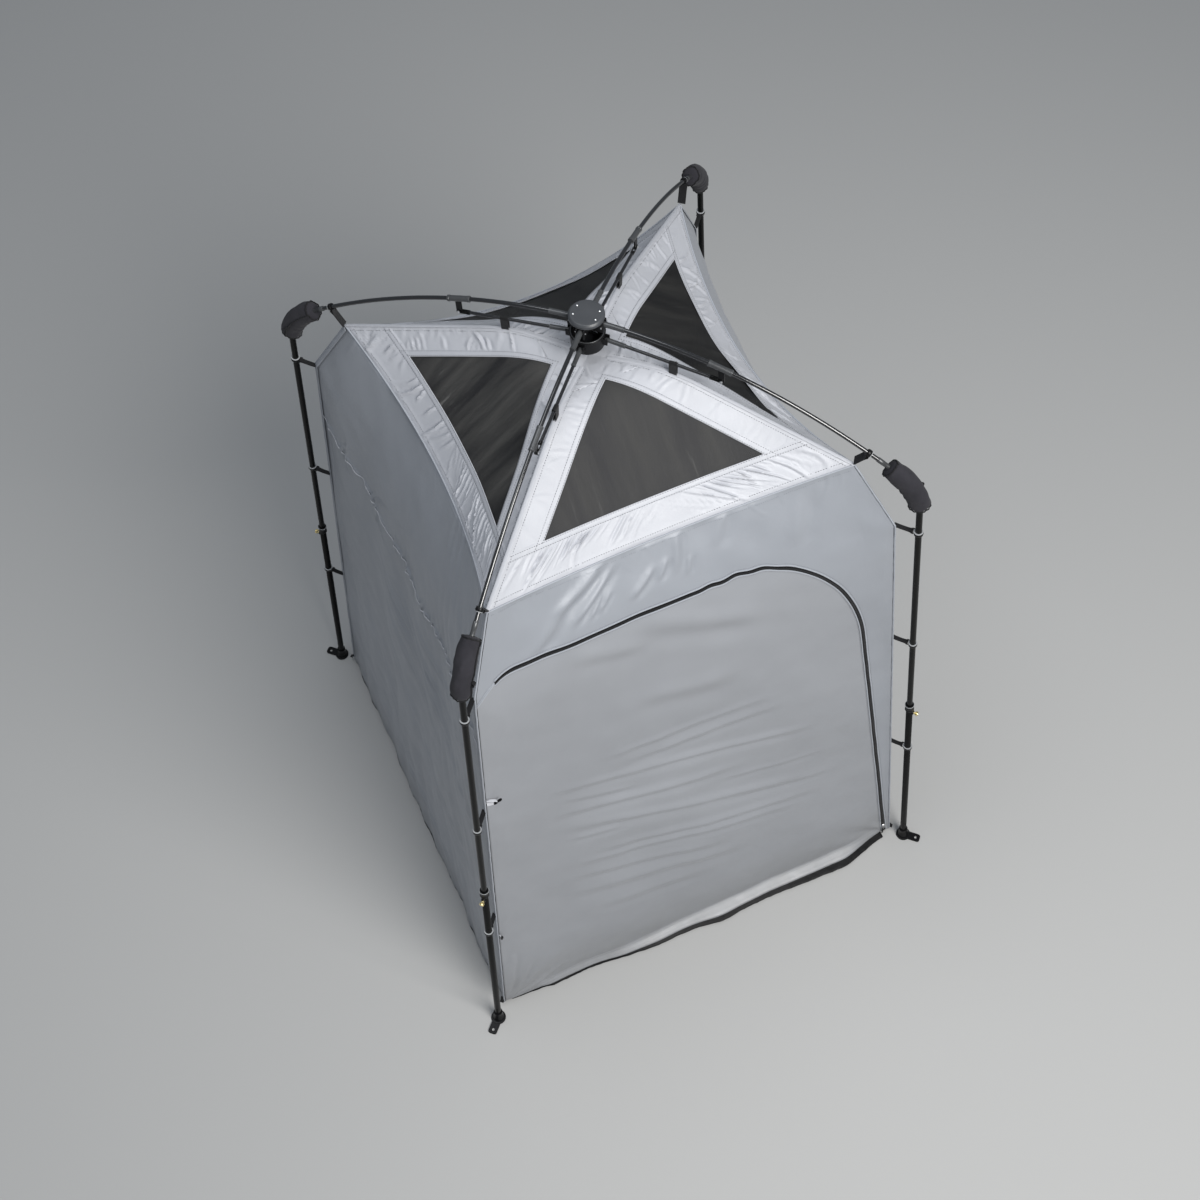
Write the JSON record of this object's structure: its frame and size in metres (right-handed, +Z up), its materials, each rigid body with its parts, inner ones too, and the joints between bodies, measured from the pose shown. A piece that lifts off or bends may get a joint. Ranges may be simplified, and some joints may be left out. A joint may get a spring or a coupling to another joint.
{
  "type": "shower tent",
  "caption": "Shower tent with a grey fabric cabin hung inside an umbrella-hub frame of black tubes, with a zipped door and telescopic legs.",
  "frame": {"origin": "middle of the footprint, on the ground", "axes": "+Z up, -Y out through the door wall, +X to the right for someone who faces the door"},
  "size_m": [1.4962, 1.4962, 2.119],
  "materials": {
    "frame": "satin black coating",
    "hub": "fine-grained moulded plastic",
    "black_plastic": "smooth moulded plastic",
    "cover_fabric": "soft padded cloth",
    "wall_fabric": "coated polyester, slight sheen",
    "roof_fabric": "silver-coated polyester",
    "mesh": "fine dark mesh",
    "webbing": "woven tape with moulded rings",
    "flap": "thin polyethylene sheet"
  },
  "bodies": {
    "cabin_and_frame": {"upper_hub": "hub", "lower_hub": "black_plastic", "roof_pole_front_left": "frame", "strut_front_left": "frame", "elbow_cover_front_left": "cover_fabric", "upper_leg_front_left": "frame", "corner_webbing_front_left": "webbing", "strut_strap_front_left": "webbing", "roof_pole_front_right": "frame", "strut_front_right": "frame", "elbow_cover_front_right": "cover_fabric", "upper_leg_front_right": "frame", "corner_webbing_front_right": "webbing", "strut_strap_front_right": "webbing", "roof_pole_back_right": "frame", "strut_back_right": "frame", "elbow_cover_back_right": "cover_fabric", "upper_leg_back_right": "frame", "corner_webbing_back_right": "webbing", "strut_strap_back_right": "webbing", "roof_pole_back_left": "frame", "strut_back_left": "frame", "elbow_cover_back_left": "cover_fabric", "upper_leg_back_left": "frame", "corner_webbing_back_left": "webbing", "strut_strap_back_left": "webbing", "roof_panel_front": "roof_fabric", "roof_mesh_front": "mesh", "roof_panel_right": "roof_fabric", "roof_mesh_right": "mesh", "roof_panel_back": "roof_fabric", "roof_mesh_back": "mesh", "roof_panel_left": "roof_fabric", "roof_mesh_left": "mesh", "front_wall_header": "wall_fabric", "front_wall_right_strip": "wall_fabric", "left_wall": "wall_fabric", "right_wall": "wall_fabric", "back_wall": "wall_fabric", "mud_flap": "flap"},
    "door": {"door": "wall_fabric", "door_mud_flap": "flap"},
    "leg_front_left": {"lower_leg_front_left": "frame"},
    "leg_front_right": {"lower_leg_front_right": "frame"},
    "leg_back_right": {"lower_leg_back_right": "frame"},
    "leg_back_left": {"lower_leg_back_left": "frame"}
  },
  "joints": [
    {"name": "door_swing", "type": "hinge", "parent": "cabin_and_frame", "child": "door", "pos_m": [-0.667, -0.667, 0], "axis": [-0.0771, -0.0771, -0.994], "range_deg": [0, 105]},
    {"name": "leg_slide_front_left", "type": "slide", "parent": "cabin_and_frame", "child": "leg_front_left", "axis": [0.0728, 0.0728, 0.9947], "range_m": [0, 0.28]},
    {"name": "leg_slide_front_right", "type": "slide", "parent": "cabin_and_frame", "child": "leg_front_right", "axis": [-0.0728, 0.0728, 0.9947], "range_m": [0, 0.28]},
    {"name": "leg_slide_back_right", "type": "slide", "parent": "cabin_and_frame", "child": "leg_back_right", "axis": [-0.0728, -0.0728, 0.9947], "range_m": [0, 0.28]},
    {"name": "leg_slide_back_left", "type": "slide", "parent": "cabin_and_frame", "child": "leg_back_left", "axis": [0.0728, -0.0728, 0.9947], "range_m": [0, 0.28]}
  ]
}
